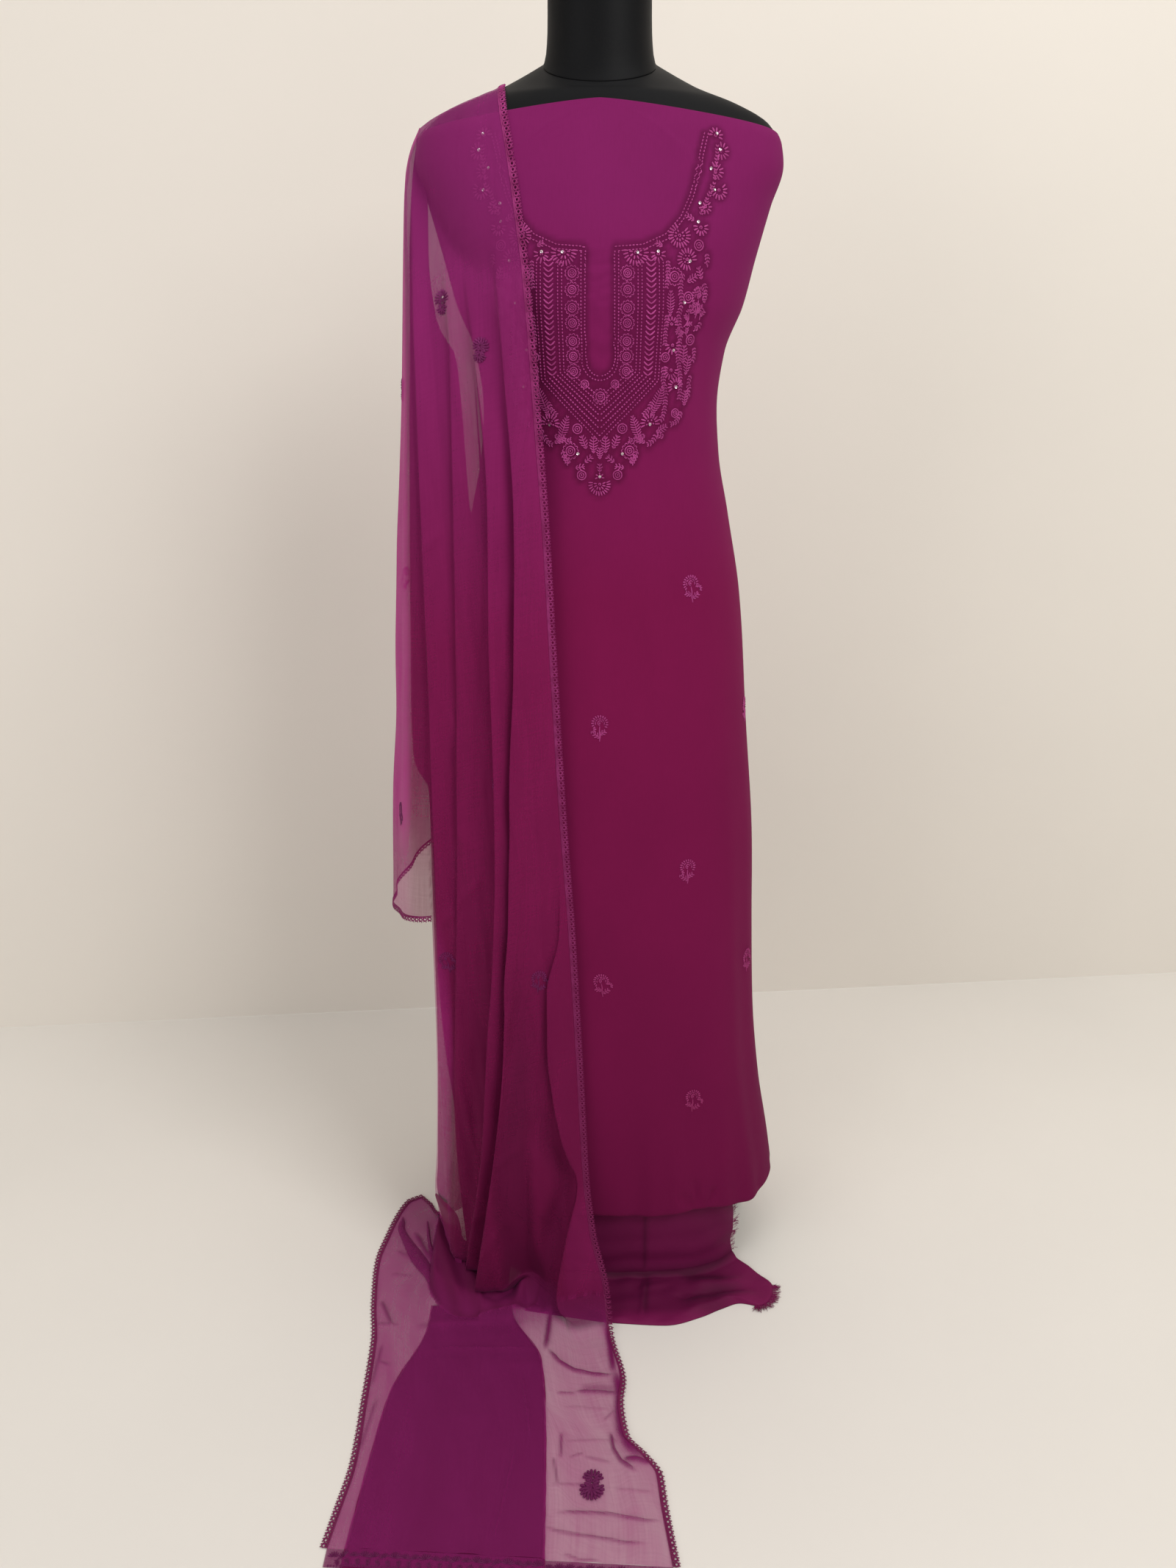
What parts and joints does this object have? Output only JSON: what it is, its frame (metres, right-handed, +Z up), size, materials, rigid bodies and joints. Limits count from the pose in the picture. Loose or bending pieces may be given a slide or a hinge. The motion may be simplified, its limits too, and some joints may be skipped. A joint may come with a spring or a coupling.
{
  "type": "salwar kameez suit on a dress form",
  "caption": "Unstitched salwar kameez suit draped on a limbless dress form: embroidered kameez cloth, salwar cloth and a sheer lace-edged dupatta.",
  "frame": {"origin": "on the floor, on the axis of the dress form's stand", "axes": "+Z up along the stand's pole, -Y to the front of the suit, +X to the wearer's left"},
  "size_m": [0.5449, 0.7522, 1.5593],
  "materials": {
    "form": "matt black moulded torso",
    "stand": "satin black paint",
    "kameez": "matt georgette, deep magenta plum, embroidered tone on tone",
    "salwar": "smooth plain weave, slight sheen",
    "dupatta": "sheer crinkled chiffon",
    "lace": "cotton crochet edging"
  },
  "bodies": {
    "root": {"form_bust": "form", "form_neck": "form", "neck_cap": "form", "stand_pole": "stand", "stand_base": "stand", "kameez_cloth": "kameez", "salwar_cloth": "salwar", "salwar_floor_fold": "salwar", "salwar_folded_panel": "salwar", "salwar_fray_edge": "salwar", "salwar_fray_floor": "salwar", "dupatta_front": "dupatta", "dupatta_back": "dupatta", "dupatta_side": "dupatta", "dupatta_floor": "dupatta", "dupatta_lace_front": "lace", "dupatta_lace_back": "lace", "dupatta_lace_side": "lace", "dupatta_lace_floor_left": "lace", "dupatta_lace_floor_right": "lace", "dupatta_border": "dupatta"}
  },
  "joints": []
}
